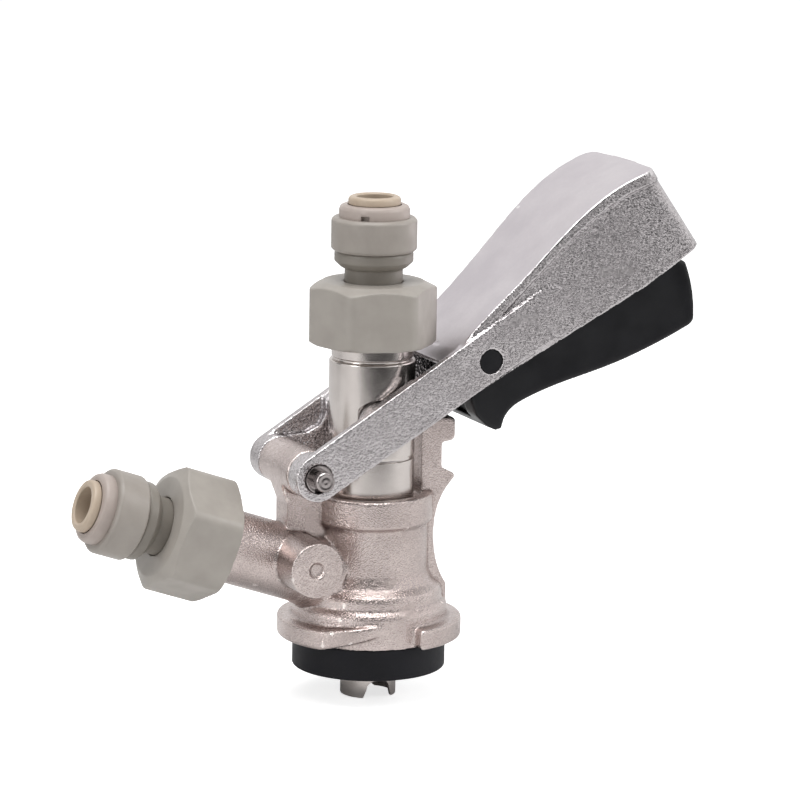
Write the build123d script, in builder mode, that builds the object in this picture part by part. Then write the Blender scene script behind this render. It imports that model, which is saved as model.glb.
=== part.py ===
from build123d import *
from math import cos, radians, sin, sqrt
import os

# A keg coupler with a bayonet foot. All sizes are millimetres.
# Origin: on the probe's axis, in the bottom face of the keg seal. +Z up, +X towards the handle's free end.

os.makedirs("parts", exist_ok=True)

# ---------------------------------------------------------------- driving dimensions
# keg seal and bayonet foot
SEAL_R = 20.5
SEAL_H = 8.4
SEAL_SPIGOT_R = 17.0
SEAL_SPIGOT_H = 3.0
SKIRT_R = 20.9
LUG_R = 24.7
LUG_BOTTOM = 8.4
LUG_TOP = 13.8
LUG_START = -78.7  # polar angle of the blunt end, degrees
LUG_FULL = 113.0  # arc at full section
LUG_RAMP = 46.4  # arc over which the lug runs out

# barrel
BARREL_R = 15.4
COLLAR_R = 16.6
COLLAR_Z = 39.7
BARREL_TOP = 47.5
BORE_R = 11.55
RIM_BORE_R = 13.4
RIM_BORE_DEPTH = 2.0

# ratchet post on the handle's side
POST_HALF_WIDTH = 5.5

# hinge
HINGE_X = -22.0
HINGE_Z = 55.3
KNUCKLE_R = 6.3
KNUCKLE_HALF = 9.9
HINGE_PIN_R = 3.0
RUNNING = 0.05  # radial clearance of a running fit
WEB_HALF = 4.0

# gas port, leaning up and back from the probe's axis
PORT_Z = 21.3
PORT_RISE = 19.2  # degrees above level
PORT_R = 9.8
PORT_NUT_AT = 47.0  # along the port, from the probe's axis to the nut's rear face
PORT_PASSAGE_R = 2.9

# relief-valve boss, cast blank
BOSS_X = -23.7
BOSS_Z = 31.6
BOSS_R = 7.3
BOSS_FACE_Y = -20.0

# probe
PROBE_R = 11.5
PROBE_TIP_Z = -8.2
PROBE_TIP_R = 7.45
PROBE_NECK_R = 10.9
PROBE_NECK_Z = 84.0
BEER_NUT_Z = 87.2
GUIDE_FLAT_Y = 8.6
BALL_R = 5.5
BALL_SEAT_Z = 80.0
BALL_SEAT_R = 3.6

# handle
ARM_IN = 14.0
ARM_OUT = 16.5
ARM_PAD_IN = 11.9
HINGE_BOSS_IN = 10.2
GUIDE_X = -2.4
GUIDE_Z = 68.0
GUIDE_R = 5.5
GUIDE_CLEARANCE = 0.4
GUIDE_MIDDLE_X = -0.55
GUIDE_SWEEP = 4.3
PADDLE_WALL = 2.6

# release lever
LEVER_X = 27.2
LEVER_Z = 83.3
LEVER_PIN_R = 3.3
LEVER_HALF = 13.5
LEVER_WALL = 2.2

# push-fit connectors, measured along the axis from the nut's open end
HEX_ACROSS_FLATS = 30.5
HEX_CORNER_R = 3.5
NUT_H = 16.8
THREAD_BORE_R = 11.3
SEALED_END = 9.0  # where the metal end meets the sealing washer
WASHER_H = 2.0
NUT_SHOULDER = 13.0
NECK_R = 7.7
NECK_END = 20.2
RING_R = 10.45
CAP_START = 24.9
CAP_R = 11.35
CAP_END = 33.8
RETAINER_R = 9.35
RETAINER_END = 37.2
COLLET_R = 6.95
COLLET_END = 39.4
TUBE_BORE_R = 4.85
COLLET_TRAVEL = 1.2


def save(builder, name):
    builder.part.label = name
    export_step(builder.part, f"parts/{name}.step")


def lengthwise(frame):
    """The half-plane through a frame's axis: X is the radius, Y runs along the axis."""
    return Plane(origin=frame.origin, x_dir=frame.x_dir, z_dir=-frame.y_dir)


def axis_of(frame):
    return Axis(frame.origin, frame.z_dir)


# ---------------------------------------------------------------- frames shared by the pieces
port_dir = Vector(-cos(radians(PORT_RISE)), 0, sin(radians(PORT_RISE)))
port = Plane(origin=(0, 0, PORT_Z), x_dir=(0, -1, 0), z_dir=port_dir)


# ---------------------------------------------------------------- keg seal
def make_body_seal():
    lip_r = 8.0
    with BuildPart() as body_seal:
        with BuildSketch(Plane.XZ):
            with BuildLine():
                Polyline(
                    (lip_r, 3.2),
                    (12.5, 0),
                    (SEAL_R, 0),
                    (SEAL_R, SEAL_H),
                    (SEAL_SPIGOT_R, SEAL_H),
                    (SEAL_SPIGOT_R, SEAL_H + SEAL_SPIGOT_H),
                    (lip_r + 2.0, SEAL_H + SEAL_SPIGOT_H),
                    (lip_r, 6.0),
                    close=True,
                )
            make_face()
        revolve(axis=Axis.Z)
        foot = body_seal.edges().filter_by(GeomType.CIRCLE).group_by(Axis.Z)[0].sort_by(SortBy.LENGTH)[-1]
        fillet(foot, 0.45)
        shoulder = body_seal.edges().filter_by(GeomType.CIRCLE).filter_by(
            lambda edge: abs(edge.radius - SEAL_R) < 0.01 and edge.center().Z > SEAL_H - 0.1
        )
        fillet(shoulder, 0.4)
    return body_seal


# ---------------------------------------------------------------- body
def lug_section(angle, outer_r, bottom, top):
    """One radial section through a bayonet lug, its outer corners rounded."""
    root_r = SKIRT_R - 1.4
    direction = Vector(cos(radians(angle)), sin(radians(angle)), 0)
    plane = Plane(origin=(0, 0, 0), x_dir=direction, z_dir=direction.cross(Vector(0, 0, 1)))
    with BuildSketch(plane, mode=Mode.PRIVATE) as section:
        with BuildLine():
            Polyline(
                (root_r, bottom),
                (outer_r, bottom),
                (outer_r, top),
                (root_r, top),
                close=True,
            )
        make_face()
        fillet(section.vertices().sort_by(Axis.X)[-2:], 0.7)
    return section


def make_lug():
    """A bayonet lug: blunt at one end, running out into the skirt at the other."""
    ramp_steps = 4
    with BuildPart() as lug:
        revolve(lug_section(LUG_START, LUG_R, LUG_BOTTOM, LUG_TOP).sketch, axis=Axis.Z, revolution_arc=LUG_FULL)
        sections = []
        for step in range(ramp_steps + 1):
            share = step / ramp_steps
            radius = LUG_R - (LUG_R - SKIRT_R + 0.2) * share ** 1.3
            angle = LUG_START + LUG_FULL + LUG_RAMP * share
            section = lug_section(angle, radius, LUG_BOTTOM + 4.6 * share, LUG_TOP + 1.8 * share)
            sections.append(section.sketch)
        loft(sections)
        blunt = lug.faces().sort_by(Axis((0, 0, 0), (sin(radians(LUG_START)), -cos(radians(LUG_START)), 0)))
        fillet(blunt[-1].edges().sort_by(SortBy.DISTANCE)[-2:], 0.9)
    return lug


def make_body():
    with BuildPart() as body:
        # turned outside: skirt, two stepped ridges, waisted barrel, collar
        with BuildSketch(Plane.XZ):
            with BuildLine():
                Polyline(
                    (0, SEAL_H),
                    (SKIRT_R, SEAL_H),
                    (SKIRT_R, 16.6),
                    (20.3, 17.8),
                    (19.4, 18.4),
                    (19.4, 20.8),
                    (18.9, 22.0),
                    (16.6, 23.6),
                    (BARREL_R, 26.5),
                    (BARREL_R, COLLAR_Z - 0.6),
                    (COLLAR_R, COLLAR_Z + 0.6),
                    (COLLAR_R, BARREL_TOP),
                    (0, BARREL_TOP),
                    close=True,
                )
            make_face()
        revolve(axis=Axis.Z)
        rim = body.edges().filter_by(GeomType.CIRCLE).group_by(Axis.Z)[-1]
        fillet(rim, 0.8)

        # web that carries the hinge, from the gas port up to the knuckle
        with BuildSketch(Plane.XZ):
            with BuildLine():
                Polyline(
                    (-12.5, 24.0),
                    (-12.5, 46.0),
                    (-17.0, 51.5),
                    (HINGE_X, HINGE_Z),
                    (-28.0, 54.0),
                    (-27.0, 50.0),
                    (-25.6, 46.5),
                    (-25.6, 24.0),
                    close=True,
                )
            make_face()
        extrude(amount=WEB_HALF, both=True)
        with BuildSketch(Plane.XZ):
            with Locations((HINGE_X, HINGE_Z)):
                Circle(KNUCKLE_R)
        extrude(amount=KNUCKLE_HALF, both=True)

        # gas port: pipe, then the threaded end inside the nut
        with BuildSketch(port):
            Circle(PORT_R)
        extrude(amount=PORT_NUT_AT + 1.0)
        with BuildSketch(Plane(origin=port.origin + port_dir * (PORT_NUT_AT + 1.0), x_dir=port.x_dir, z_dir=port_dir)):
            Circle(THREAD_BORE_R - 0.3)
        extrude(amount=SEALED_END - 1.0)
        with BuildSketch(Plane(origin=port.origin + port_dir * 13.0, x_dir=port.x_dir, z_dir=port_dir)):
            Circle(PORT_R + 1.8)
        extrude(amount=9.0, taper=11)

        # blank relief-valve boss
        with BuildSketch(Plane.XZ):
            with Locations((BOSS_X, BOSS_Z)):
                Circle(BOSS_R)
        extrude(amount=-BOSS_FACE_Y)

        # ratchet post: two teeth for the latch, finger curve below them
        with BuildSketch(Plane.XZ):
            with BuildLine():
                Polyline(
                    (16.0, 66.8),
                    (21.5, 66.8),
                    (22.2, 65.9),
                    (22.2, 61.2),
                    (21.2, 60.4),
                    (18.4, 60.0),
                    (18.4, 53.2),
                    (22.1, 51.4),
                    (22.3, 50.3),
                )
                Spline((22.3, 50.3), (17.2, 42.0), (16.4, 33.5), (17.6, 26.8), (20.3, 21.3))
                Polyline((20.3, 21.3), (20.3, 17.0), (12.4, 17.0), (12.4, 64.5), (16.0, 66.8))
            make_face()
        extrude(amount=POST_HALF_WIDTH, both=True)

        # bayonet lugs
        lug = make_lug()
        with PolarLocations(0, 2):
            add(lug.part)

        # bores, from the foot up: seal seat, gas space, sliding bore, rim recess
        with BuildSketch(Plane.XY.offset(SEAL_H)):
            Circle(SEAL_SPIGOT_R)
        extrude(amount=SEAL_SPIGOT_H, mode=Mode.SUBTRACT)
        with BuildSketch(Plane.XY.offset(SEAL_H)):
            Circle(9.6)
        extrude(amount=8.0, mode=Mode.SUBTRACT)
        with BuildSketch(Plane.XY.offset(14.0)):
            Circle(BORE_R)
        extrude(amount=60.0, mode=Mode.SUBTRACT)
        with BuildSketch(Plane.XY.offset(BARREL_TOP - RIM_BORE_DEPTH)):
            Circle(RIM_BORE_R)
        extrude(amount=30.0, mode=Mode.SUBTRACT)

        # gas passage, with a wider chamber and a seat for the check valve
        with BuildSketch(port):
            Circle(PORT_PASSAGE_R)
        extrude(amount=PORT_NUT_AT + SEALED_END, mode=Mode.SUBTRACT)
        with BuildSketch(Plane(origin=port.origin + port_dir * 40.0, x_dir=port.x_dir, z_dir=port_dir)):
            Circle(5.2)
        extrude(amount=PORT_NUT_AT + SEALED_END - 40.0, mode=Mode.SUBTRACT)
        with BuildSketch(
            Plane(origin=port.origin + port_dir * (PORT_NUT_AT + SEALED_END - 1.6), x_dir=port.x_dir, z_dir=port_dir)
        ):
            Circle(6.6)
        extrude(amount=1.6, mode=Mode.SUBTRACT)

        # dimple of the blank boss and the hinge hole
        with BuildSketch(Plane.XZ.offset(-BOSS_FACE_Y)):
            with Locations((BOSS_X, BOSS_Z)):
                Circle(2.3)
        extrude(amount=-1.0, taper=25, mode=Mode.SUBTRACT)
        with BuildSketch(Plane.XZ):
            with Locations((HINGE_X, HINGE_Z)):
                Circle(HINGE_PIN_R)
        extrude(amount=KNUCKLE_HALF + 1, both=True, mode=Mode.SUBTRACT)
    return body


# ---------------------------------------------------------------- hinge pin and its clip
PIN_HEAD_R = 3.7
PIN_HEAD_Y = 14.6
SPIGOT_R = 2.65
SPIGOT_SHOULDER_Y = -14.9
SPIGOT_END_Y = -21.0
CLIP_Y = -15.9
CLIP_H = 0.9
COUNTERBORE_R = 3.85


def hinge_frame(y):
    """Frame on the hinge's axis, its Z pointing to the near side."""
    return Plane(origin=(HINGE_X, y, HINGE_Z), x_dir=(1, 0, 0), z_dir=(0, -1, 0))


def make_hinge_pin():
    with BuildPart() as hinge_pin:
        with BuildSketch(hinge_frame(ARM_OUT - 0.2)):
            Circle(PIN_HEAD_R)
        extrude(amount=ARM_OUT - 0.2 - PIN_HEAD_Y)
        with BuildSketch(hinge_frame(PIN_HEAD_Y)):
            Circle(HINGE_PIN_R)
        extrude(amount=PIN_HEAD_Y - SPIGOT_SHOULDER_Y)
        with BuildSketch(hinge_frame(SPIGOT_SHOULDER_Y)):
            Circle(SPIGOT_R)
        extrude(amount=SPIGOT_SHOULDER_Y - SPIGOT_END_Y)
        chamfer(hinge_pin.edges().group_by(Axis.Y)[0], 0.4)
        chamfer(hinge_pin.edges().group_by(Axis.Y)[-1], 0.4)
        # groove for the clip
        with BuildSketch(hinge_frame(CLIP_Y)):
            Circle(SPIGOT_R + 1)
            Circle(SPIGOT_R - 0.6, mode=Mode.SUBTRACT)
        extrude(amount=CLIP_H, mode=Mode.SUBTRACT)
    return hinge_pin


def make_hinge_clip():
    with BuildPart() as hinge_clip:
        with BuildSketch(hinge_frame(CLIP_Y)):
            Circle(PIN_HEAD_R)
            Circle(SPIGOT_R - 0.6, mode=Mode.SUBTRACT)
            with Locations((0, -3.0)):
                Rectangle(2.6, 6.0, mode=Mode.SUBTRACT)
        extrude(amount=CLIP_H)
    return hinge_clip


# ---------------------------------------------------------------- handle
ARM_LIFT = 31.2  # degrees above level with the handle up
ARM_LENGTH = 78.0
ARM_HALF = 6.7
LATCH_SWEEP_R = 46.4  # what lies between the arms stays outside this radius from the hinge
CROTCH_R = 14.6
NUT_CLEAR_R = 18.4
PADDLE_END = (88.3, 112.2)
PADDLE_BOW = 1.2
PADDLE_CORNER_R = 4.0
PADDLE_RIDGE_R = 2.2
PADDLE_SKIN = 3.6


def paddle_side(inset):
    """The paddle from the side, running on past its end. An inset draws in the top and opens it below."""
    below = 12.0 if inset else 0.0
    with BuildSketch(Plane.XZ) as outline:
        with BuildLine():
            Spline(
                (13.5, 79.5 - inset),
                (22.1, 91.3 - inset),
                (34.5, 103.4 - inset),
                (51.0, 120.0 - inset),
                (62.0, 128.2 - inset),
                (72.0, 132.7 - inset),
                (84.0, 136.2 - inset),
            )
            Polyline(
                (84.0, 136.2 - inset),
                (100.0, 120.0 - below),
                (72.0, 101.4 - below),
                (9.9, 66.9 - below),
                (9.0, 79.5 - inset),
                (13.5, 79.5 - inset),
            )
        make_face()
    return outline


def paddle_plan(half_front, half_middle, half_end):
    """The paddle from above: narrow where it leaves the arms, flaring towards its end."""
    with BuildSketch(Plane.XY.offset(50)) as outline:
        with BuildLine():
            Line((8.0, 0), (8.0, half_front - 0.1))
            Spline(
                (8.0, half_front - 0.1),
                (22.0, half_front),
                (45.0, half_middle),
                (66.0, (half_middle + half_end + 0.6) / 2),
                (96.0, half_end),
            )
            Line((96.0, half_end), (96.0, 0))
            mirror(about=Plane.XZ)
        make_face()
    return outline


def paddle_end(inset):
    """All that lies short of the slanting, slightly bowed end."""
    end_x, end_z = PADDLE_END
    reach = 160.0
    half = 24.0
    slant = Plane(origin=(end_x, 0, end_z), x_dir=(0.822, 0, 0.571), z_dir=(-0.571, 0, 0.822))
    with BuildSketch(slant) as outline:
        with BuildLine():
            ThreePointArc((-PADDLE_BOW - inset, -half), (-inset, 0), (-PADDLE_BOW - inset, half))
            Polyline(
                (-PADDLE_BOW - inset, half),
                (-reach, half),
                (-reach, -half),
                (-PADDLE_BOW - inset, -half),
            )
        make_face()
    return outline


def paddle_block(half_front, half_middle, half_end):
    """The paddle's solid form, the corners of its end rounded."""
    with BuildPart() as block:
        extrude(paddle_side(0).sketch, amount=24, both=True)
        extrude(paddle_plan(half_front, half_middle, half_end).sketch, amount=100, mode=Mode.INTERSECT)
        extrude(paddle_end(0).sketch, amount=120, both=True, mode=Mode.INTERSECT)
        for corner in (0, -1):
            end = block.faces().sort_by(Axis.X)[-1]
            fillet(end.edges().sort_by(Axis.Y)[corner], PADDLE_CORNER_R)
    return block


def make_paddle():
    with BuildPart() as hollow:
        extrude(paddle_side(PADDLE_WALL).sketch, amount=24, both=True)
        extrude(paddle_plan(ARM_IN, 14.4, 16.6).sketch, amount=100, mode=Mode.INTERSECT)
        extrude(paddle_end(PADDLE_WALL).sketch, amount=120, both=True, mode=Mode.INTERSECT)
    # top skin, a little wider than the walls under it
    with BuildPart() as skin:
        add(paddle_block(15.4, 17.4, 20.2).part)
        top = skin.faces().filter_by(lambda face: face.normal_at().Z > 0.3).sort_by(Axis.X)[0]
        fillet(top.edges().sort_by(Axis.X)[1:], PADDLE_RIDGE_R)
        extrude(paddle_side(PADDLE_SKIN).sketch, amount=24, both=True, mode=Mode.SUBTRACT)
    with BuildPart() as paddle:
        add(paddle_block(15.0, 16.2, 18.8).part)
        top = paddle.faces().filter_by(lambda face: face.normal_at().Z > 0.3).sort_by(Axis.X)[0]
        fillet(top.edges().sort_by(Axis.X)[1:], PADDLE_RIDGE_R)
        add(skin.part)
        add(hollow.part, mode=Mode.SUBTRACT)
        # the crotch: room for the probe, its nut and the latch teeth
        with BuildSketch(Plane.XY.offset(60)):
            Circle(CROTCH_R)
        extrude(amount=60, mode=Mode.SUBTRACT)
        with BuildSketch(Plane.XY.offset(BEER_NUT_Z - 1.2)):
            Circle(NUT_CLEAR_R)
        extrude(amount=40, mode=Mode.SUBTRACT)
        with BuildSketch(Plane.XZ):
            with Locations((HINGE_X, HINGE_Z)):
                Circle(LATCH_SWEEP_R)
        extrude(amount=ARM_IN, both=True, mode=Mode.SUBTRACT)
    return paddle


def arm_outline():
    tip = Vector(HINGE_X, HINGE_Z) + Vector(ARM_LENGTH, 0).rotate(Axis.Z, ARM_LIFT)
    with BuildSketch(Plane.XZ, mode=Mode.PRIVATE) as outline:
        with Locations((HINGE_X, HINGE_Z)):
            Circle(KNUCKLE_R)
        with Locations((tip.X, tip.Y)):
            Circle(ARM_HALF)
        make_hull()
    return outline


def make_handle():
    """One casting: paddle, two fork arms, hinge bosses, inner pads and the guide lugs."""
    arms = arm_outline().sketch
    with BuildPart() as handle:
        add(make_paddle().part)
        for y, direction in ((ARM_OUT, 1), (-ARM_OUT, -1)):
            extrude(arms.moved(Location((0, y, 0))), amount=direction * (ARM_OUT - ARM_IN))
            # hinge boss, inner pad and the lug that rides in the probe's flat
            with BuildSketch(Plane.XZ.offset(-y)):
                with Locations((HINGE_X, HINGE_Z)):
                    Circle(KNUCKLE_R)
            extrude(amount=direction * (ARM_OUT - HINGE_BOSS_IN))
            with BuildSketch(Plane.XZ.offset(-y)):
                with Locations((GUIDE_X, GUIDE_Z)):
                    Circle(GUIDE_R)
            extrude(amount=direction * (ARM_OUT - GUIDE_FLAT_Y - GUIDE_CLEARANCE))
            with BuildSketch(Plane.XZ.offset(-y)):
                with BuildLine():
                    Polyline(
                        (HINGE_X, HINGE_Z + KNUCKLE_R - 0.4),
                        (-13.5, 61.6),
                        (-9.6, 63.4),
                        (-8.2, 66.0),
                        (-8.2, 70.6),
                        (6.0, 79.3),
                        (13.0, 69.8),
                        (HINGE_X + 4.0, HINGE_Z - 4.6),
                        close=True,
                    )
                make_face()
            extrude(amount=direction * (ARM_OUT - ARM_PAD_IN))
        # hinge hole, its counterbores, and the release lever's pin hole
        with BuildSketch(Plane.XZ):
            with Locations((HINGE_X, HINGE_Z)):
                Circle(HINGE_PIN_R + RUNNING)
        extrude(amount=ARM_OUT + 1, both=True, mode=Mode.SUBTRACT)
        for y, direction in ((ARM_OUT, 1), (-ARM_OUT, -1)):
            with BuildSketch(Plane.XZ.offset(-y)):
                with Locations((HINGE_X, HINGE_Z)):
                    Circle(COUNTERBORE_R)
            extrude(amount=direction * (ARM_OUT - PIN_HEAD_Y + 0.1), mode=Mode.SUBTRACT)
        with BuildSketch(Plane.XZ):
            with Locations((LEVER_X, LEVER_Z)):
                Circle(LEVER_PIN_R)
        extrude(amount=ARM_OUT + 1, both=True, mode=Mode.SUBTRACT)
    return handle


# ---------------------------------------------------------------- release lever
def lever_outline():
    """The lever from the side: latch nose in front, trigger hook, long squeeze tail."""
    with BuildSketch(Plane.XZ, mode=Mode.PRIVATE) as outline:
        with BuildLine():
            Polyline((24.6, 88.8), (22.9, 73.0), (24.6, 68.2), (27.9, 65.1), (30.4, 64.0), (32.2, 64.4))
            Spline((32.2, 64.4), (34.6, 69.4), (39.4, 72.1), (47.6, 75.0), (62.4, 79.0), (79.2, 85.1), (87.2, 88.8))
            ThreePointArc((87.2, 88.8), (88.8, 90.2), (89.0, 92.4))
            Spline((89.0, 92.4), (88.2, 99.5), (86.0, 106.4))
            Polyline((86.0, 106.4), (83.4, 107.7), (60.0, 94.2), (33.8, 83.0), (31.4, 87.6), (24.6, 88.8))
        make_face()
    return outline


def make_release_lever():
    outline = lever_outline().sketch
    with BuildPart() as lever:
        extrude(outline, amount=LEVER_HALF, both=True)
        # hollow behind the pin, open towards the paddle
        with BuildSketch(Plane.XZ):
            with BuildLine():
                Polyline((38.5, 73.9), (37.0, 110.0), (87.0, 112.0))
                Spline((87.0, 112.0), (85.9, 99.5), (86.8, 92.4))
                Spline((86.8, 92.4), (78.3, 87.2), (61.7, 81.2), (47.0, 77.2), (38.5, 73.9))
            make_face()
        extrude(amount=LEVER_HALF - LEVER_WALL, both=True, mode=Mode.SUBTRACT)
        # slot for the spring's coil
        with BuildSketch(Plane.XZ):
            with Locations((LEVER_X, LEVER_Z)):
                Circle(6.2)
        extrude(amount=5.0, both=True, mode=Mode.SUBTRACT)
        with BuildSketch(Plane.XZ):
            with Locations((LEVER_X, LEVER_Z)):
                Circle(LEVER_PIN_R + RUNNING)
        extrude(amount=LEVER_HALF + 1, both=True, mode=Mode.SUBTRACT)
        # slot moulded in the front of the nose
        with BuildSketch(Plane.XZ):
            Polygon((20.0, 71.5), (27.6, 71.5), (27.6, 67.0), (23.0, 67.0), align=None)
        extrude(amount=6.5, both=True, mode=Mode.SUBTRACT)
    return lever


def make_lever_pin():
    with BuildPart() as lever_pin:
        with BuildSketch(Plane.XZ):
            with Locations((LEVER_X, LEVER_Z)):
                Circle(LEVER_PIN_R)
        extrude(amount=ARM_OUT - 0.4, both=True)
        chamfer(lever_pin.edges().filter_by(GeomType.CIRCLE), 0.3)
    return lever_pin


def make_lever_spring():
    """Torsion spring round the lever's pin, between the arms."""
    wire_r = 0.55
    coil_r = 4.8
    turns = 5
    pitch = 1.6
    with BuildPart() as spring:
        with BuildLine():
            start = (LEVER_X, turns * pitch / 2, LEVER_Z)
            coil = Helix(pitch=pitch, height=turns * pitch, radius=coil_r, center=start, direction=(0, -1, 0))
        with BuildSketch(Plane(origin=coil @ 0, z_dir=coil % 0)):
            Circle(wire_r)
        sweep(path=coil, is_frenet=True)
    return spring


# ---------------------------------------------------------------- probe and what it carries
PROBE_BORE_R = 4.6
TIP_BORE_R = 6.3
O_RING_R = 0.95
O_RING_Z = (41.4, 44.2)
BALL_STOP_Z = 92.5
BALL_STOP_H = 2.0
NOTCH_TOP = -3.6


def make_probe():
    seat_top_r = 7.0
    with BuildPart() as probe:
        with BuildSketch(Plane.XZ):
            with BuildLine():
                Polyline(
                    (TIP_BORE_R, PROBE_TIP_Z),
                    (PROBE_TIP_R, PROBE_TIP_Z),
                    (PROBE_TIP_R, 26.0),
                    (9.0, 27.6),
                    (9.0, 37.5),
                    (PROBE_R - 0.6, 38.4),
                    (PROBE_R, 39.0),
                    (PROBE_R, 56.8),
                    (PROBE_R - 0.5, 56.8),
                    (PROBE_R - 0.5, 57.8),
                    (PROBE_R, 57.8),
                    (PROBE_R, 82.9),
                    (PROBE_R - 0.3, 83.3),
                    (PROBE_NECK_R - 0.4, 83.3),
                    (PROBE_NECK_R - 0.4, PROBE_NECK_Z),
                    (PROBE_NECK_R, PROBE_NECK_Z),
                    (PROBE_NECK_R, BEER_NUT_Z + SEALED_END),
                    (7.6, BEER_NUT_Z + SEALED_END),
                    (7.6, BALL_STOP_Z),
                    (seat_top_r, BALL_STOP_Z),
                    (seat_top_r, BALL_SEAT_Z + seat_top_r - BALL_SEAT_R),
                    (BALL_SEAT_R, BALL_SEAT_Z),
                    (BALL_SEAT_R, 79.0),
                    (PROBE_BORE_R, 78.0),
                    (PROBE_BORE_R, 15.0),
                    (TIP_BORE_R, 12.0),
                    close=True,
                )
            make_face()
        revolve(axis=Axis.Z)
        # seal grooves
        for z in O_RING_Z:
            with BuildSketch(Plane.XY.offset(z - O_RING_R)):
                Circle(PROBE_R + 1)
                Circle(BORE_R - 2 * O_RING_R - 0.02, mode=Mode.SUBTRACT)
            extrude(amount=2 * O_RING_R, mode=Mode.SUBTRACT)
        # round-ended pockets that the handle's lugs ride in
        for y, direction in ((PROBE_R + 1, 1), (-PROBE_R - 1, -1)):
            with BuildSketch(Plane.XZ.offset(-y)):
                with Locations((GUIDE_MIDDLE_X, GUIDE_Z)):
                    SlotCenterToCenter(GUIDE_SWEEP, 2 * (GUIDE_R + GUIDE_CLEARANCE))
            extrude(amount=direction * (PROBE_R + 1 - GUIDE_FLAT_Y), mode=Mode.SUBTRACT)
        # cross notch in the tip
        with BuildSketch(Plane.XZ):
            with BuildLine():
                Polyline((-4.4, PROBE_TIP_Z - 1), (-3.2, NOTCH_TOP - 2.2))
                RadiusArc((-3.2, NOTCH_TOP - 2.2), (-1.0, NOTCH_TOP), 2.2)
                Line((-1.0, NOTCH_TOP), (1.0, NOTCH_TOP))
                RadiusArc((1.0, NOTCH_TOP), (3.2, NOTCH_TOP - 2.2), 2.2)
                Polyline((3.2, NOTCH_TOP - 2.2), (4.4, PROBE_TIP_Z - 1), (-4.4, PROBE_TIP_Z - 1))
            make_face()
        extrude(amount=PROBE_TIP_R + 1, both=True, mode=Mode.SUBTRACT)
    return probe


def make_o_ring(centre, section_r, plane):
    """A round-section ring. The centre line's radius is in the frame's X, its place along Z."""
    with BuildPart() as o_ring:
        with BuildSketch(lengthwise(plane)):
            with Locations(centre):
                Circle(section_r)
        revolve(axis=axis_of(plane))
    return o_ring


def make_beer_check_ball():
    with BuildPart() as ball:
        with BuildSketch(Plane.XZ):
            with Locations((0, BALL_SEAT_Z - BALL_SEAT_R + BALL_R * sqrt(2) + 0.03)):
                Circle(BALL_R)
                Rectangle(BALL_R, 2 * BALL_R, align=(Align.MAX, Align.CENTER), mode=Mode.SUBTRACT)
        revolve(axis=Axis.Z)
    return ball


def make_ball_stop():
    """Perforated disc pressed into the probe's head."""
    with BuildPart() as stop:
        with BuildSketch(Plane.XY.offset(BALL_STOP_Z)):
            Circle(7.6)
            with PolarLocations(4.4, 6):
                Circle(1.7, mode=Mode.SUBTRACT)
        extrude(amount=BALL_STOP_H)
    return stop


# ---------------------------------------------------------------- gas check valve
def along(frame, distance):
    return Plane(origin=frame.origin + frame.z_dir * distance, x_dir=frame.x_dir, z_dir=frame.z_dir)


def make_gas_check_valve():
    """Rubber duckbill: a flange clamped under the washer, its bill pointing into the body."""
    flange = along(port, PORT_NUT_AT + SEALED_END)
    bill = along(port, PORT_NUT_AT + SEALED_END - 12.0)
    with BuildPart() as valve:
        with BuildSketch(flange):
            Circle(6.5)
        extrude(amount=-1.6)
        with BuildSketch(along(flange, -1.6)):
            Circle(4.6)
        extrude(amount=-4.4)
        with BuildSketch(along(flange, -6.0)):
            Circle(4.6)
        with BuildSketch(bill):
            Rectangle(8.4, 1.0)
        loft()
        with BuildSketch(flange):
            Circle(3.4)
        extrude(amount=-6.0, mode=Mode.SUBTRACT)
    return valve


# ---------------------------------------------------------------- push-fit connectors
def turned(plane, outline):
    """A ring turned about a frame's axis from an outline of (radius, distance along)."""
    with BuildPart() as ring:
        with BuildSketch(lengthwise(plane)):
            with BuildLine():
                Polyline(*outline, close=True)
            make_face()
        revolve(axis=axis_of(plane))
    return ring


def make_nut(frame, corner_angle):
    """Hexagon union nut with a domed outer face; its shoulder pulls the stem onto the washer."""
    with BuildPart() as nut:
        with BuildSketch(frame):
            hexagon = RegularPolygon(HEX_ACROSS_FLATS / 2, 6, major_radius=False, rotation=corner_angle)
            fillet(hexagon.vertices(), HEX_CORNER_R)
        extrude(amount=NUT_H)
        # chamfers turned on both ends
        with BuildSketch(lengthwise(frame)):
            with BuildLine():
                Polyline(
                    (0, 0),
                    (15.6, 0),
                    (18.5, 1.3),
                    (18.5, NUT_H - 2.6),
                    (14.4, NUT_H - 0.6),
                    (13.4, NUT_H),
                    (0, NUT_H),
                    close=True,
                )
            make_face()
        revolve(axis=axis_of(frame), mode=Mode.INTERSECT)
        with BuildSketch(frame):
            Circle(THREAD_BORE_R)
        extrude(amount=NUT_SHOULDER, mode=Mode.SUBTRACT)
        with BuildSketch(frame):
            Circle(NECK_R + 0.2)
        extrude(amount=NUT_H, mode=Mode.SUBTRACT)
    return nut


SOCKET_R = 4.95
SOCKET_STOP = 18.1
RING_SEAT = 23.9
RING_POCKET_R = 7.2
STEM_TOP = 31.1
STEM_TOP_R = 9.6
STEM_BORE_R = 3.5


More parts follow.
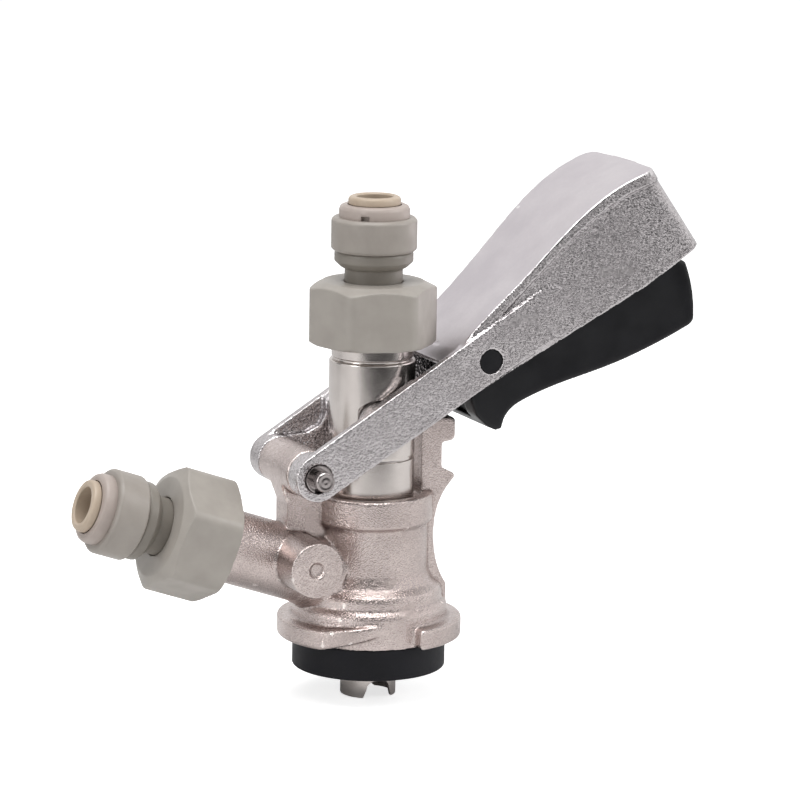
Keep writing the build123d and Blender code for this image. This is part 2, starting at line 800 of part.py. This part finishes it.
def make_stem(frame):
    washer_face = SEALED_END + WASHER_H
    return turned(
        frame,
        [
            (STEM_BORE_R, washer_face),
            (10.6, washer_face),
            (10.6, NUT_SHOULDER),
            (NECK_R, NUT_SHOULDER),
            (NECK_R, NECK_END),
            (RING_R - 1.6, NECK_END + 0.5),
            (RING_R, NECK_END + 2.0),
            (RING_R, CAP_START - 0.5),
            (RING_R - 0.4, CAP_START),
            (STEM_TOP_R, CAP_START),
            (STEM_TOP_R, STEM_TOP),
            (RING_POCKET_R, STEM_TOP),
            (RING_POCKET_R, RING_SEAT),
            (SOCKET_R, RING_SEAT),
            (SOCKET_R, SOCKET_STOP),
            (STEM_BORE_R, SOCKET_STOP),
        ],
    )


def make_cap(frame):
    edge = 0.7
    return turned(
        frame,
        [
            (STEM_TOP_R, CAP_START),
            (CAP_R - edge, CAP_START),
            (CAP_R, CAP_START + edge),
            (CAP_R, CAP_END - edge),
            (CAP_R - edge, CAP_END),
            (8.2, CAP_END),
            (8.2, STEM_TOP),
            (STEM_TOP_R, STEM_TOP),
        ],
    )


def make_retainer(frame, notch_angle):
    """Ring that holds the collet; a small window shows at its foot."""
    recess = COLLET_R + 0.2
    floor = RETAINER_END - COLLET_TRAVEL - 0.3
    with BuildPart() as retainer:
        with BuildSketch(lengthwise(frame)):
            with BuildLine():
                Polyline(
                    (6.1, STEM_TOP + 0.2),
                    (8.2, STEM_TOP + 0.2),
                    (8.2, CAP_END),
                    (RETAINER_R, CAP_END),
                    (RETAINER_R, RETAINER_END - 1.3),
                    (RETAINER_R - 0.4, RETAINER_END - 0.4),
                    (RETAINER_R - 1.3, RETAINER_END),
                    (recess, RETAINER_END),
                    (recess, floor),
                    (6.1, floor),
                    close=True,
                )
            make_face()
        revolve(axis=axis_of(frame))
        window = along(frame, CAP_END)
        with BuildSketch(window):
            with PolarLocations(RETAINER_R, 1, start_angle=notch_angle):
                Rectangle(2.4, 2.2)
        extrude(amount=1.25, mode=Mode.SUBTRACT)
    return retainer


def make_collet(frame):
    """Collet with four sprung fingers; pressing its flange frees the tube."""
    finger_end = 27.7
    tube_r = 5.9
    with BuildPart() as collet:
        with BuildSketch(lengthwise(frame)):
            with BuildLine():
                Polyline(
                    (TUBE_BORE_R, finger_end),
                    (tube_r + 0.7, finger_end),
                    (tube_r + 0.9, finger_end + 1.0),
                    (tube_r, finger_end + 2.6),
                    (tube_r, RETAINER_END + 0.05),
                    (COLLET_R, RETAINER_END + 0.05),
                    (COLLET_R, COLLET_END - 0.9),
                    (COLLET_R - 0.3, COLLET_END - 0.3),
                    (COLLET_R - 0.9, COLLET_END),
                    (TUBE_BORE_R + 0.4, COLLET_END),
                    (TUBE_BORE_R, COLLET_END - 0.4),
                    close=True,
                )
            make_face()
        revolve(axis=axis_of(frame))
        with BuildSketch(along(frame, finger_end - 1)):
            Rectangle(20, 1.1)
            Rectangle(1.1, 20)
        extrude(amount=5.5, mode=Mode.SUBTRACT)
    return collet


def make_washer(frame):
    return turned(
        frame,
        [
            (4.0, SEALED_END),
            (10.2, SEALED_END),
            (10.2, SEALED_END + WASHER_H),
            (4.0, SEALED_END + WASHER_H),
        ],
    )


def make_connector(prefix, frame, corner_angle, notch_angle):
    tube_ring_r = 1.1
    save(make_nut(frame, corner_angle), f"{prefix}_nut")
    save(make_washer(frame), f"{prefix}_washer")
    save(make_stem(frame), f"{prefix}_stem")
    save(make_cap(frame), f"{prefix}_cap")
    save(make_retainer(frame, notch_angle), f"{prefix}_retainer")
    save(make_collet(frame), f"{prefix}_collet")
    tube_ring = (SOCKET_R + tube_ring_r, RING_SEAT + tube_ring_r + 0.02)
    save(make_o_ring(tube_ring, tube_ring_r, frame), f"{prefix}_tube_o_ring")


# ---------------------------------------------------------------- every piece, one file each
beer_nut_frame = Plane.XY.offset(BEER_NUT_Z)
gas_nut_frame = along(port, PORT_NUT_AT)
o_ring_r = BORE_R - 0.02 - O_RING_R

for make, name in (
    (make_body_seal, "body_seal"),
    (make_body, "body"),
    (make_hinge_pin, "hinge_pin"),
    (make_hinge_clip, "hinge_clip"),
    (make_handle, "handle"),
    (make_release_lever, "release_lever"),
    (make_lever_pin, "lever_pin"),
    (make_lever_spring, "lever_spring"),
    (make_probe, "probe"),
    (make_beer_check_ball, "beer_check_ball"),
    (make_ball_stop, "ball_stop"),
    (make_gas_check_valve, "gas_check_valve"),
):
    save(make(), name)

save(make_o_ring((o_ring_r, O_RING_Z[0]), O_RING_R, Plane.XY), "probe_o_ring_lower")
save(make_o_ring((o_ring_r, O_RING_Z[1]), O_RING_R, Plane.XY), "probe_o_ring_upper")
make_connector("beer", beer_nut_frame, corner_angle=46.0, notch_angle=-129.0)
make_connector("gas", gas_nut_frame, corner_angle=25.0, notch_angle=180.0)
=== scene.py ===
# A keg coupler: cast body on a bayonet foot, sliding beer probe, forked paddle handle with a
# squeeze release, and two push-fit tube connectors. Metres, +Z up along the probe, +X towards
# the handle's end.
from math import cos, radians, sin

import bpy
from mathutils import Matrix, Vector


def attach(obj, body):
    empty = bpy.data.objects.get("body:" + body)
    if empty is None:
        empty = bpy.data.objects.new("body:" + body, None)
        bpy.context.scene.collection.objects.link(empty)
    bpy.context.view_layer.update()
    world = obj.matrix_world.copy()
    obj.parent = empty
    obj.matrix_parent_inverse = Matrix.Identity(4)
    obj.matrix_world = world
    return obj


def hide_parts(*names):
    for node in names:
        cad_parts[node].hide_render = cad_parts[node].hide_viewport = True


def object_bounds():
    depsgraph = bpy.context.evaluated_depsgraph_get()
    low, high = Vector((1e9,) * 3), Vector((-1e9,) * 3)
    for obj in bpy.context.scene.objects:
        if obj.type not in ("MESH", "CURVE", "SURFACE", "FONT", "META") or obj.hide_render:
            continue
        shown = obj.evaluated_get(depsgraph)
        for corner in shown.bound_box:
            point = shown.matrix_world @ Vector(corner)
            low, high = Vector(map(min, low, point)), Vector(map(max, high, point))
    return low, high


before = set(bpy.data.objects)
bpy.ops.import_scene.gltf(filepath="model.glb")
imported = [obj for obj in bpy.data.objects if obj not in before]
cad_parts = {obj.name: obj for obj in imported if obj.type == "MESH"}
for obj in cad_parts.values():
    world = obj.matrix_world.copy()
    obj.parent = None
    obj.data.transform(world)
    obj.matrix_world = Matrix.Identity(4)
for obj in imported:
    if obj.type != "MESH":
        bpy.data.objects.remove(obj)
cad_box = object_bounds()
scene = bpy.context.scene
MM = 0.001

# ---------------------------------------------------------------- camera
# A long lens from the gas port's side, a little above the coupler, levelled to its probe.
# Its frame is shifted, not turned, to place the coupler.
aim = Vector((0, 0, 60 * MM))
stand_off = 1100 * MM
turned_left = radians(24)
raised = radians(11.9)
tilt = radians(0.83)
forward = Vector((sin(turned_left) * cos(raised), cos(turned_left) * cos(raised), -sin(raised)))
level = Vector((cos(turned_left), -sin(turned_left), 0))
over = level.cross(forward)
camera_x = level * cos(tilt) + over * sin(tilt)
camera_y = over * cos(tilt) - level * sin(tilt)
place = aim - forward * stand_off
camera = bpy.data.objects.new("camera", bpy.data.cameras.new("camera"))
scene.collection.objects.link(camera)
camera.data.sensor_width = 36
camera.data.lens = 186.1
camera.data.shift_x = 0.036
camera.data.shift_y = 0.0544
camera.data.clip_end = 20
camera.matrix_world = Matrix((
    (camera_x.x, camera_y.x, -forward.x, place.x),
    (camera_x.y, camera_y.y, -forward.y, place.y),
    (camera_x.z, camera_y.z, -forward.z, place.z),
    (0, 0, 0, 1),
))
scene.camera = camera
scene.view_settings.view_transform = "Standard"


# ---------------------------------------------------------------- floor, backdrop and light
# A white studio table. Its paper is plain, and keeps a soft shadow under the foot.
# Three softboxes light it, and dark cards round it draw the edges of the bright metal.
def linear(hex_colour):
    """A six-digit sRGB hex colour as linear RGBA."""
    channels = [int(hex_colour[i:i + 2], 16) / 255 for i in (0, 2, 4)]
    return [c / 12.92 if c <= 0.04045 else ((c + 0.055) / 1.055) ** 2.4 for c in channels] + [1.0]


def node(tree, kind, inputs=None, **settings):
    """Adds a node, sets its properties, and gives each input named a value or a link."""
    made = tree.nodes.new(kind)
    for name, value in settings.items():
        setattr(made, name, value)
    for socket, value in (inputs or {}).items():
        if isinstance(value, bpy.types.NodeSocket):
            tree.links.new(value, made.inputs[socket])
        else:
            made.inputs[socket].default_value = value
    return made


def deselect():
    bpy.ops.object.select_all(action="DESELECT")


def start_material(name):
    """A material with an empty node tree; the caller adds the shader and the output."""
    material = bpy.data.materials.new(name)
    material.use_nodes = True
    material.node_tree.nodes.clear()
    return material, material.node_tree


# Matt coated paper, lit from behind as well, so that it shows white round the coupler's shadow.
paper, tree = start_material("white_paper_sweep")
paper_size = 6
paper_gap = 0.2 * MM
ray = node(tree, "ShaderNodeLightPath")
matt = node(tree, "ShaderNodeBsdfDiffuse", {"Color": linear("f4f4f4")})
glow = node(tree, "ShaderNodeEmission", {"Color": linear("ffffff"), "Strength": 0.72})
both = node(tree, "ShaderNodeAddShader", {0: matt.outputs[0], 1: glow.outputs[0]})
seen = node(
    tree, "ShaderNodeMixShader", {0: ray.outputs["Is Camera Ray"], 1: matt.outputs[0], 2: both.outputs[0]}
)
node(tree, "ShaderNodeOutputMaterial", {"Surface": seen.outputs[0]})
deselect()
bpy.ops.mesh.primitive_plane_add(size=paper_size, location=(0, 0, cad_box[0][2] - paper_gap))
floor = bpy.context.active_object
floor.name = "floor"
floor.data.materials.append(paper)

# The room is white to the camera and in polished metal, and dim as a source of light.
room_light = 0.28
world = bpy.data.worlds.new("studio")
scene.world = world
world.use_nodes = True
tree = world.node_tree
tree.nodes.clear()
ray = node(tree, "ShaderNodeLightPath")
seen = node(
    tree, "ShaderNodeMath", {0: ray.outputs["Is Camera Ray"], 1: ray.outputs["Is Glossy Ray"]},
    operation="MAXIMUM",
)
seen = node(
    tree, "ShaderNodeMath", {0: seen.outputs[0], 1: ray.outputs["Is Transmission Ray"]}, operation="MAXIMUM"
)
room = node(tree, "ShaderNodeBackground", {"Color": linear("ffffff"), "Strength": room_light})
white = node(tree, "ShaderNodeBackground", {"Color": linear("ffffff"), "Strength": 1.0})
mix = node(tree, "ShaderNodeMixShader", {0: seen.outputs[0], 1: room.outputs[0], 2: white.outputs[0]})
node(tree, "ShaderNodeOutputWorld", {"Surface": mix.outputs[0]})

lamps_aim = Vector((0.02, 0, 0.06))
for name, location, size, watts in (
    ("softbox_top", (-0.15, -0.1, 1.0), (0.8, 0.8), 8.0),
    ("softbox_left", (-1.1, -0.35, 0.55), (0.4, 0.9), 3.4),
    ("softbox_right", (0.95, -0.55, 0.5), (0.3, 0.9), 6.2),
):
    lamp = bpy.data.lights.new(name, "AREA")
    lamp.shape = "RECTANGLE"
    lamp.size, lamp.size_y = size
    lamp.energy = watts
    box = bpy.data.objects.new(name, lamp)
    scene.collection.objects.link(box)
    box.location = location
    box.rotation_euler = (lamps_aim - Vector(location)).to_track_quat("-Z", "Y").to_euler()

# One card lies on the table before the coupler, one hangs high behind the camera, and a narrow
# one stands on each side. Only the metal's reflections see them.
front_height = radians(29)
to_front = Vector((forward.x, forward.y, 0)).normalized() * -cos(front_height)
to_front += Vector((0, 0, sin(front_height)))
left_card = aim - level * 0.62 + forward * 0.12
right_card = aim + level * 0.62 - forward * 0.05
table_card = Vector((0.1, -0.69, 0.0))
for name, location, size, shade, facing in (
    ("card_table", table_card, (1.6, 0.84), "2e2d2e", Vector((0, 0, 1))),
    ("card_front", aim + to_front * 1.7, (2.6, 0.95), "161616", -to_front),
    ("card_left", left_card, (0.16, 1.2), "101010", aim - left_card),
    ("card_right", right_card, (0.2, 1.2), "101010", aim - right_card),
):
    felt, tree = start_material(name + "_felt")
    dark = node(tree, "ShaderNodeEmission", {"Color": linear(shade), "Strength": 1.0})
    node(tree, "ShaderNodeOutputMaterial", {"Surface": dark.outputs[0]})
    deselect()
    bpy.ops.mesh.primitive_plane_add(size=1, location=location)
    card = bpy.context.active_object
    card.name = name
    card.scale = (size[0], size[1], 1)
    card.rotation_euler = facing.to_track_quat("Z", "Y").to_euler()
    card.data.materials.append(felt)
    card.visible_camera = False
    card.visible_diffuse = False
    card.visible_shadow = False


# ---------------------------------------------------------------- keg seal
# The black rubber ring that seats in the keg's neck. It is compression moulded in nitrile and
# snapped into the groove of the body's foot.
def copied(name, cad, material):
    """Copies one CAD solid as a merged mesh, and makes it the active, selected object."""
    deselect()
    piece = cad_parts[cad].copy()
    piece.data = piece.data.copy()
    piece.parent = None
    scene.collection.objects.link(piece)
    for key in list(piece.keys()):
        del piece[key]
    piece.select_set(True)
    bpy.context.view_layer.objects.active = piece
    piece.name = name
    piece.data.name = name
    piece.data.materials.clear()
    piece.data.materials.append(material)
    for face in piece.data.polygons:
        face.material_index = 0
    bpy.ops.object.mode_set(mode="EDIT")
    bpy.ops.mesh.select_all(action="SELECT")
    bpy.ops.mesh.remove_doubles(threshold=0.005 * MM)
    bpy.ops.object.mode_set(mode="OBJECT")
    return piece


def stands_for(piece, cad, body):
    """The piece takes the place of its CAD solid, and moves with a body."""
    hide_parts(cad)
    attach(piece, body)


def machined(name, cad, material, body, edge_mm=0):
    """A piece with flat, true faces, whose sharp edges are broken by edge_mm."""
    flat = radians(0.4)
    sharp = radians(32)
    piece = copied(name, cad, material)
    bpy.ops.object.mode_set(mode="EDIT")
    bpy.ops.mesh.select_all(action="SELECT")
    bpy.ops.mesh.dissolve_limited(angle_limit=flat)
    bpy.ops.object.mode_set(mode="OBJECT")
    if edge_mm:
        bevel = piece.modifiers.new("edge", "BEVEL")
        bevel.width = edge_mm * MM
        bevel.segments = 2
        bevel.limit_method = "ANGLE"
        bevel.angle_limit = sharp
        bevel.miter_outer = "MITER_ARC"
        bevel.use_clamp_overlap = False
        bpy.ops.object.modifier_apply(modifier="edge")
    bpy.ops.object.shade_smooth_by_angle(angle=sharp)
    weight = piece.modifiers.new("normals", "WEIGHTED_NORMAL")
    weight.keep_sharp = True
    bpy.ops.object.modifier_apply(modifier="normals")
    stands_for(piece, cad, body)


def polymer(
    name, pale, dark, colour_range, rough_range, grain_mm, grain_depth_mm, cloud_mm, cloud_detail, ior,
    specular=0.5,
):
    """A moulded rubber or plastic: fine mould grain, and slow clouds in its colour and gloss."""
    material, tree = start_material(name)
    at = node(tree, "ShaderNodeTexCoord").outputs["Object"]
    grain = node(tree, "ShaderNodeTexNoise", {"Vector": at, "Scale": 1 / (grain_mm * MM)})
    cloud = node(
        tree, "ShaderNodeTexNoise", {"Vector": at, "Scale": 1 / (cloud_mm * MM), "Detail": cloud_detail}
    )
    share = node(
        tree, "ShaderNodeMapRange",
        {"Value": cloud.outputs[0], "From Min": colour_range[0], "From Max": colour_range[1]},
    )
    colour = node(
        tree, "ShaderNodeMix", {"Factor": share.outputs[0], 6: linear(pale), 7: linear(dark)},
        data_type="RGBA",
    )
    rough = node(
        tree, "ShaderNodeMapRange",
        {
            "Value": cloud.outputs[0], "From Min": 0.3, "From Max": 0.7,
            "To Min": rough_range[0], "To Max": rough_range[1],
        },
    )
    skin = node(
        tree, "ShaderNodeBump", {"Height": grain.outputs[0], "Strength": 1.0, "Distance": grain_depth_mm * MM}
    )
    shader = node(
        tree, "ShaderNodeBsdfPrincipled",
        {
            "Base Color": colour.outputs[2], "Roughness": rough.outputs[0], "Normal": skin.outputs[0],
            "IOR": ior, "Specular IOR Level": specular,
        },
    )
    node(tree, "ShaderNodeOutputMaterial", {"Surface": shader.outputs[0]})
    return material


# Nitrile rubber from a blasted mould: near black, dull and faintly grainy, with a paler bloom.
rubber = polymer(
    "moulded_nitrile_rubber", "0a0a0f", "131319", colour_range=(0.35, 0.7), rough_range=(0.42, 0.6),
    grain_mm=0.5, grain_depth_mm=0.03, cloud_mm=9.0, cloud_detail=4.0, ior=1.52, specular=0.2,
)
machined("keg_seal", "body_seal", rubber, "body")


# ---------------------------------------------------------------- body
# One brass casting: bayonet foot, barrel, collar, gas port, blank boss, ratchet post and hinge
# knuckle. It is blasted and then nickel plated, and its bores are turned.
def moulded(name, cad, material, body, grid_mm=0.4, passes=4, kept=0.5):
    """A cast or moulded piece: its skin is laid again on a fine grid, and every edge is eased."""
    piece = copied(name, cad, material)
    skin = piece.modifiers.new("skin", "REMESH")
    skin.mode = "VOXEL"
    skin.voxel_size = grid_mm * MM
    skin.adaptivity = 0
    bpy.ops.object.modifier_apply(modifier="skin")
    ease = piece.modifiers.new("ease", "SMOOTH")
    ease.factor = 0.5
    ease.iterations = passes
    bpy.ops.object.modifier_apply(modifier="ease")
    thin = piece.modifiers.new("thin", "DECIMATE")
    thin.ratio = kept
    bpy.ops.object.modifier_apply(modifier="thin")
    bpy.ops.object.shade_smooth()
    stands_for(piece, cad, body)
    return piece


def plated_casting(name, pale, dark, wear_and_highlight, painted_shade, grain_mm, depth_mm, pit_shade_amount, rough_low, rough_high):
    """Plating over a cast skin: grains, painted shade in their pits and hollows, and a painted highlight on
    edges rubbed smooth.
    """
    material, tree = start_material(name)
    at = node(tree, "ShaderNodeTexCoord").outputs["Object"]
    grain = node(
        tree, "ShaderNodeTexNoise",
        {"Vector": at, "Scale": 1 / (grain_mm * MM), "Detail": 1.0, "Roughness": 0.4},
    )
    cloud_mm = 12.0
    cloud = node(tree, "ShaderNodeTexNoise", {"Vector": at, "Scale": 1 / (cloud_mm * MM), "Detail": 3.0})
    shape = node(tree, "ShaderNodeNewGeometry").outputs["Pointiness"]
    # Convex edges: rubbed smoother, and painted paler as a painted highlight.
    edge = node(tree, "ShaderNodeMapRange", {"Value": shape, "From Min": 0.525, "From Max": 0.58})
    # Hollows: painted darker, as painted shade in creases and corners.
    painted_crease_shade = node(tree, "ShaderNodeMapRange", {"Value": shape, "From Min": 0.49, "From Max": 0.44})
    # Low points of the grain: painted darker, as painted shade in the pits.
    painted_pit_shade = node(
        tree, "ShaderNodeMapRange",
        {"Value": grain.outputs[0], "From Min": 0.3, "From Max": 0.66, "To Min": pit_shade_amount, "To Max": 0.0},
    )
    patch = node(tree, "ShaderNodeMapRange", {"Value": cloud.outputs[0], "From Min": 0.35, "From Max": 0.68})
    colour = node(
        tree, "ShaderNodeMix", {"Factor": patch.outputs[0], 6: linear(pale), 7: linear(dark)},
        data_type="RGBA",
    )
    for mask, shade in ((painted_pit_shade, painted_shade), (painted_crease_shade, painted_shade), (edge, wear_and_highlight)):
        colour = node(
            tree, "ShaderNodeMix", {"Factor": mask.outputs[0], 6: colour.outputs[2], 7: linear(shade)},
            data_type="RGBA",
        )
    rough = node(
        tree, "ShaderNodeMapRange",
        {
            "Value": cloud.outputs[0], "From Min": 0.3, "From Max": 0.7,
            "To Min": rough_low, "To Max": rough_high,
        },
    )
    rough = node(
        tree, "ShaderNodeMix", {"Factor": edge.outputs[0], "A": rough.outputs[0], "B": 0.17},
        data_type="FLOAT",
    )
    skin = node(
        tree, "ShaderNodeBump", {"Height": grain.outputs[0], "Strength": 1.0, "Distance": depth_mm * MM}
    )
    shader = node(
        tree, "ShaderNodeBsdfPrincipled",
        {
            "Base Color": colour.outputs[2], "Roughness": rough.outputs[0], "Normal": skin.outputs[0],
            "Metallic": 1.0,
        },
    )
    node(tree, "ShaderNodeOutputMaterial", {"Surface": shader.outputs[0]})
    return material


# Nickel on blasted brass: a warm, slightly pink silver with a sparkle of fine grains. The real
# grit is about 0.2 mm, and is drawn coarser so that it shows.
# Its pits and hollows are painted darker as painted shade, and its edges paler as a painted highlight.
nickel_casting = plated_casting(
    "blasted_nickel_plated_brass", "d6c9c5", "c4b7b3", "e8dfdb", "7f7370", grain_mm=0.36, depth_mm=0.17,
    pit_shade_amount=0.45, rough_low=0.2, rough_high=0.29,
)
moulded("body_casting", "body", nickel_casting, "body", kept=0.55)


# ---------------------------------------------------------------- hinge pin and its clip
# A turned stainless pin through the knuckle and the handle's fork. A small spring clip in its
# groove holds it from the near side.
def turned_metal(name, pale, dark, rough_low, rough_high, axis, centre_mm=(0, 0, 0)):
    """Bright steel off a lathe: rings across its ends and fine tool marks along its axis."""
    material, tree = start_material(name)
    at = node(tree, "ShaderNodeTexCoord").outputs["Object"]
    to_centre = [-side * MM for side in centre_mm]
    from_axis = node(tree, "ShaderNodeMapping", {"Vector": at, "Location": to_centre})
    # A wave of scale 1 repeats every 0.314. Both marks are drawn coarser than real ones to show.
    wave_repeat = 0.314
    ring_mm = 1.4
    rings = node(
        tree, "ShaderNodeTexWave",
        {"Vector": from_axis.outputs[0], "Scale": wave_repeat / (ring_mm * MM), "Distortion": 0.4},
        wave_type="RINGS", rings_direction=axis,
    )
    mark_mm = 0.2442
    marks = node(
        tree, "ShaderNodeTexWave",
        {
            "Vector": from_axis.outputs[0], "Scale": wave_repeat / (mark_mm * MM), "Distortion": 1.5,
            "Detail": 3.0,
        },
        wave_type="BANDS", bands_direction=axis,
    )
    cloud_mm = 7.0
    cloud = node(tree, "ShaderNodeTexNoise", {"Vector": at, "Scale": 1 / (cloud_mm * MM), "Detail": 3.0})
    colour = node(
        tree, "ShaderNodeMix", {"Factor": cloud.outputs[0], 6: linear(pale), 7: linear(dark)},
        data_type="RGBA",
    )
    rough = node(
        tree, "ShaderNodeMapRange",
        {
            "Value": cloud.outputs[0], "From Min": 0.3, "From Max": 0.7,
            "To Min": rough_low, "To Max": rough_high,
        },
    )
    skin = node(
        tree, "ShaderNodeBump", {"Height": marks.outputs[1], "Strength": 1.0, "Distance": 0.0006 * MM}
    )
    skin = node(
        tree, "ShaderNodeBump",
        {"Height": rings.outputs[1], "Normal": skin.outputs[0], "Strength": 1.0, "Distance": 0.02 * MM},
    )
    shader = node(
        tree, "ShaderNodeBsdfPrincipled",
        {
            "Base Color": colour.outputs[2], "Roughness": rough.outputs[0], "Normal": skin.outputs[0],
            "Metallic": 1.0,
        },
    )
    node(tree, "ShaderNodeOutputMaterial", {"Surface": shader.outputs[0]})
    return material


# Stainless bar, faced and left as turned: darker than the plating, with rings on its end.
hinge_mm = (-22, 0, 55.3)
steel_pin = turned_metal("turned_stainless_pin", "aca5a3", "979090", 0.12, 0.2, "Y", hinge_mm)
machined("hinge_pin_turned", "hinge_pin", steel_pin, "body", 0.15)
machined("hinge_clip_pressed", "hinge_clip", steel_pin, "body", 0.1)

# ---------------------------------------------------------------- handle
# A fork whose arms run into a hollow paddle: one zinc casting, satin chrome plated, and held by
# the hinge pin. Its top is buffed, and its ridges are polished and painted paler as a highlight; its sides
# keep the grain.
# Chrome over the cast skin: a neutral, crinkled silver, with dark flecks of painted shade in its pits
# and hollows, and a painted highlight on its edges.
chrome_casting = plated_casting(
    "grained_chrome_casting", "cbc6c7", "bab5b6", "e6e3e3", "6e696b", grain_mm=0.62, depth_mm=0.27,
    pit_shade_amount=0.28, rough_low=0.2, rough_high=0.28,
)
# The same plating over a ground top: an even satin sheen.
# Its pits and hollows are painted faintly darker as painted shade, and its edges paler as a painted
# highlight.
chrome_skin = plated_casting(
    "satin_chrome_top", "cdc7ca", "c2bcc0", "e6e3e3", "b4aeb2", grain_mm=0.8, depth_mm=0.012, pit_shade_amount=0.12,
    rough_low=0.34, rough_high=0.42,
)
# And over the rounded ridge, where hands polish it smooth: a paler colour, a painted highlight
# for one clean, bright line.
chrome_ridge_highlight = plated_casting(
    "buffed_chrome_ridge_painted_highlight", "dedbdc", "d2cecf", "e6e3e3", "b4b0b1", grain_mm=0.8, depth_mm=0.02, pit_shade_amount=0.1,
    rough_low=0.14, rough_high=0.2,
)
handle = moulded("handle_casting", "handle", chrome_casting, "handle", kept=0.7)
handle.data.materials.append(chrome_skin)
handle.data.materials.append(chrome_ridge_highlight)
paddle_from_mm = 15
arm_slope = 0.7
ridge_above_arm_mm = 10
# Upward faces of the paddle take the satin top; the sloping faces of its ridges take the paler ridge colour,
# a painted highlight.
for face in handle.data.polygons:
    x, y, z = face.normal
    on_paddle = face.center.x > paddle_from_mm * MM
    along = face.center.x / MM - hinge_mm[0]
    above_arm = face.center.z / MM - hinge_mm[2] - arm_slope * along
    if on_paddle and z > 0.3 and x < 0.2 and abs(y) < 0.35:
        face.material_index = 1
    elif on_paddle and above_arm > ridge_above_arm_mm and z > 0.2 and x < 0.6 and 0.35 <= abs(y) < 0.95:
        face.material_index = 2

# ---------------------------------------------------------------- release lever, its pin and spring
# A glass-filled nylon lever with a latch nose, moulded in black. It turns on a pin of the same
# nylon through the paddle's arms, against a torsion spring of stainless wire.
# Filled nylon: a deep black with a low, slightly uneven satin.
black_nylon = polymer(
    "moulded_glass_filled_nylon", "07070b", "0c0c11", colour_range=(0.0, 1.0), rough_range=(0.3, 0.42),
    grain_mm=0.4, grain_depth_mm=0.02, cloud_mm=8.0, cloud_detail=3.0, ior=1.53, specular=0.3,
)
moulded("release_lever_moulding", "release_lever", black_nylon, "release_lever", passes=14)
machined("lever_pin_moulded", "lever_pin", black_nylon, "handle", 0.1)
machined("lever_spring_coil", "lever_spring", steel_pin, "handle")

# ---------------------------------------------------------------- probe
# The beer tube: stainless, turned and polished, with milled flats for the handle's lugs and a
# notched tip. Two rubber rings seal it where it slides in the body.
# Polished stainless: a bright, warm mirror, hazed a little along its length.
polished = turned_metal("polished_turned_stainless", "d2cbc7", "c6bfbb", 0.17, 0.26, "Z")
machined("probe_turned", "probe", polished, "probe", 0.2)
for which in ("lower", "upper"):
    machined(f"probe_ring_{which}", f"probe_o_ring_{which}", rubber, "probe")

# ---------------------------------------------------------------- connectors
# Two push-fit tube connectors, moulded in grey acetal. A hexagon union nut of the same plastic
# draws each stem down on a rubber washer; the cap's collet grips the tube over an O-ring.
# Acetal: pale warm grey with a soft, waxy sheen, a shade apart from one moulding to the next;
# the stem is darker still, with painted shade.
acetal = {}
for part, pale, dark in (
    # The stem's grey is painted darker, as painted shade for the cap's shadow over it.
    ("stem", "847e76", "7b756d"),
    ("retainer", "afa39c", "a69a93"),
    ("cap", "9c958e", "938c85"),
    ("collet", "bdac99", "b2a18e"),
    ("nut", "a39d96", "9a948d"),
):
    acetal[part] = polymer(
        f"moulded_acetal_{part}", pale, dark, colour_range=(0.3, 0.7), rough_range=(0.34, 0.46),
        grain_mm=0.35, grain_depth_mm=0.012, cloud_mm=6.0, cloud_detail=3.0, ior=1.48,
    )

fine_grid_mm = 0.28
for side, body in (("beer", "probe"), ("gas", "body")):
    for part, name, slot in (
        ("nut", "union_nut", "nut_acetal"),
        ("stem", "stem_moulded", "acetal"),
        ("cap", "cap_moulded", "acetal"),
    ):
        moulded(
            f"{side}_{name}", f"{side}_{part}", acetal[part], body, grid_mm=fine_grid_mm, passes=1
        )
    machined(f"{side}_retainer_moulded", f"{side}_retainer", acetal["retainer"], body, 0.08)
    machined(f"{side}_collet_moulded", f"{side}_collet", acetal["collet"], f"{side}_collet", 0.1)
    for part in ("washer", "tube_o_ring"):
        machined(f"{side}_{part}_moulded", f"{side}_{part}", rubber, body)

# ---------------------------------------------------------------- valves inside
# A moulded ball seats in the head of the probe and a pressed-in disc keeps it there; a rubber
# duckbill in the gas port lets gas in and no beer out.
machined("check_ball", "beer_check_ball", acetal["cap"], "beer_check_ball")
machined("ball_stop_disc", "ball_stop", acetal["cap"], "probe")
machined("gas_duckbill", "gas_check_valve", rubber, "body")
